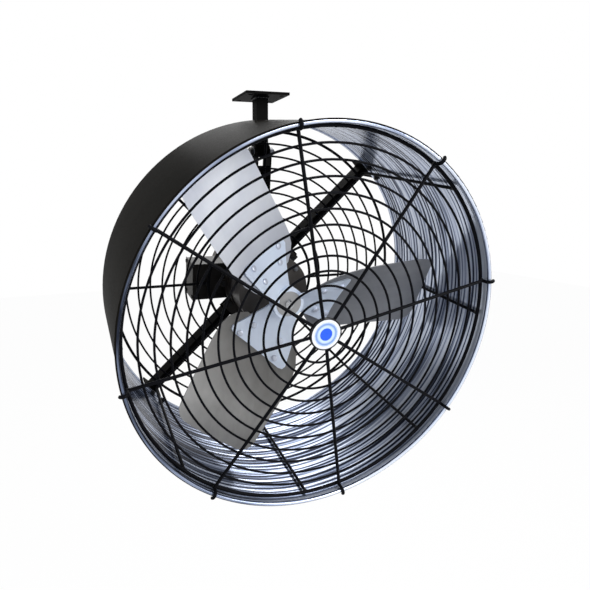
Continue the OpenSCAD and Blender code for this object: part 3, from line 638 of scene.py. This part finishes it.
def dome(bm, centre, up):
    """A closed low dome on a flat round face."""
    u = up.orthogonal().normalized()
    w = up.cross(u)
    rings = []
    for n in range(DOME_STEPS):
        a = math.radians(90 * n / DOME_STEPS)
        r = DOME_R * math.cos(a)
        rise = up * (DOME_RISE * math.sin(a) - DOME_SINK)
        ring = []
        for s in range(DOME_SIDES):
            b = 2 * math.pi * s / DOME_SIDES
            ring.append(bm.verts.new(centre + rise + (u * math.cos(b) + w * math.sin(b)) * r))
        rings.append(ring)
    for low, high in zip(rings, rings[1:]):
        skin(bm, low, high)
    top = bm.verts.new(centre + up * (DOME_RISE - DOME_SINK))
    last = rings[-1]
    for s in range(DOME_SIDES):
        bm.faces.new((last[s], last[(s + 1) % DOME_SIDES], top))
    bm.faces.new(list(reversed(rings[0])))


def separate_points(source):
    """The points of each separate solid of a mesh, found by walking along its edges."""
    source.verts.index_update()
    source.verts.ensure_lookup_table()
    seen = set()
    for first in range(len(source.verts)):
        if first in seen:
            continue
        seen.add(first)
        group = [first]
        for i in group:
            for edge in source.verts[i].link_edges:
                for v in edge.verts:
                    if v.index not in seen:
                        seen.add(v.index)
                        group.append(v.index)
        yield np.array([source.verts[i].co[:] for i in group])


def rivet_domes(material):
    """A low dome on both ends of every blade rivet, placed from the rivets' own meshes."""
    bm = bmesh.new()
    source = bmesh.new()
    source.from_mesh(nodes["blade_rivets"].data)
    bmesh.ops.remove_doubles(source, verts=source.verts, dist=SAME_POINT)
    for points in separate_points(source):
        values, vectors = np.linalg.eigh(np.cov((points - points.mean(axis=0)).T))
        odd = 0 if values[1] - values[0] > values[2] - values[1] else 2
        axis = Vector(vectors[:, odd]).normalized()
        middle = Vector(points.mean(axis=0))
        reach = (points - np.array(middle)) @ np.array(axis)
        for end, sign in ((reach.max(), 1), (reach.min(), -1)):
            dome(bm, middle + axis * end, axis * sign)
    source.free()
    new_piece("blade_rivet_domes", bm, "rotor", material)


# Lights, world and floor

def ray_mask(tree):
    """1 for what the camera, gloss or glass sees directly."""
    path = tree.nodes.new("ShaderNodeLightPath")
    a = maths(tree, "MAXIMUM", path.outputs["Is Camera Ray"], path.outputs["Is Glossy Ray"])
    return maths(tree, "MAXIMUM", a, path.outputs["Is Transmission Ray"])


def area_light(name, place_at, aim, size, power):
    """A soft square lamp aimed at a point."""
    data = bpy.data.lights.new(name, "AREA")
    data.shape = "SQUARE"
    data.size = size
    data.energy = power
    lamp = bpy.data.objects.new(name, data)
    bpy.context.scene.collection.objects.link(lamp)
    lamp.location = place_at
    lamp.rotation_euler = (aim - place_at).to_track_quat("-Z", "Y").to_euler()


def make_world():
    """A dim world for diffuse light, which looks white to the camera and in gloss or glass."""
    world = bpy.data.worlds.new("world")
    bpy.context.scene.world = world
    world.use_nodes = True
    tree = world.node_tree
    tree.nodes.clear()
    out = tree.nodes.new("ShaderNodeOutputWorld")
    dim = tree.nodes.new("ShaderNodeBackground")
    dim.inputs["Color"].default_value = WORLD_TINT
    dim.inputs["Strength"].default_value = WORLD_LEVEL
    white = tree.nodes.new("ShaderNodeBackground")
    white.inputs["Color"].default_value = WHITE
    white.inputs["Strength"].default_value = 1
    mix = tree.nodes.new("ShaderNodeMixShader")
    tree.links.new(ray_mask(tree), mix.inputs["Fac"])
    tree.links.new(dim.outputs["Background"], mix.inputs[1])
    tree.links.new(white.outputs["Background"], mix.inputs[2])
    tree.links.new(mix.outputs["Shader"], out.inputs["Surface"])


def make_floor():
    """A plain pale floor below the fan, which keeps its shadow."""
    low = cad_box[0][2]
    bpy.ops.mesh.primitive_plane_add(size=FLOOR_SIDE, location=(0, 0, low - FLOOR_BELOW))
    floor = bpy.context.object
    floor.name = "floor"
    m, tree, shader = new_material("floor_pale")
    shader.inputs["Base Color"].default_value = FLOOR_COLOUR
    shader.inputs["Roughness"].default_value = FLOOR_ROUGH
    shader.inputs["Specular IOR Level"].default_value = FLOOR_SHINE
    glow = tree.nodes.new("ShaderNodeEmission")
    glow.inputs["Color"].default_value = WHITE
    glow.inputs["Strength"].default_value = 1
    mix = tree.nodes.new("ShaderNodeMixShader")
    tree.links.new(maths(tree, "MULTIPLY", ray_mask(tree), FLOOR_GLOW), mix.inputs["Fac"])
    tree.links.new(shader.outputs["BSDF"], mix.inputs[1])
    tree.links.new(glow.outputs["Emission"], mix.inputs[2])
    end = [n for n in tree.nodes if n.type == "OUTPUT_MATERIAL"][0]
    tree.links.new(mix.outputs["Shader"], end.inputs["Surface"])
    floor.data.materials.append(m)


def make_stage():
    """World, soft lamps round the drum's middle, and the floor."""
    make_world()
    mid = place((0, MIDDLE_Y, 0))
    for name, (offset, size, power) in LAMPS.items():
        area_light(name, mid + Vector(offset), mid, size, power)
    make_floor()


# Looks of the nodes, and the small pieces

def dress():
    """Gives every CAD node its material and adds the small pieces."""
    looks = {look: plain(*row) for look, row in LOOKS.items()}
    looks.update({look: blade_material(*row) for look, row in BLADES.items()})
    looks["badge_white"] = badge_material()
    looks["drum"] = drum_material()
    look_of = {node: look for look, wearers in WEARERS.items() for node in wearers}
    for name, obj in nodes.items():
        obj.data.materials.clear()
        obj.data.materials.append(looks[look_of.get(name, "zinc")])
    guard_welds(looks["weld"])
    stem_weld(looks["weld"])
    rivet_domes(looks["rivet"])


make_camera()
make_stage()
dress()

bpy.context.scene.view_settings.view_transform = "Standard"
bpy.context.view_layer.update()
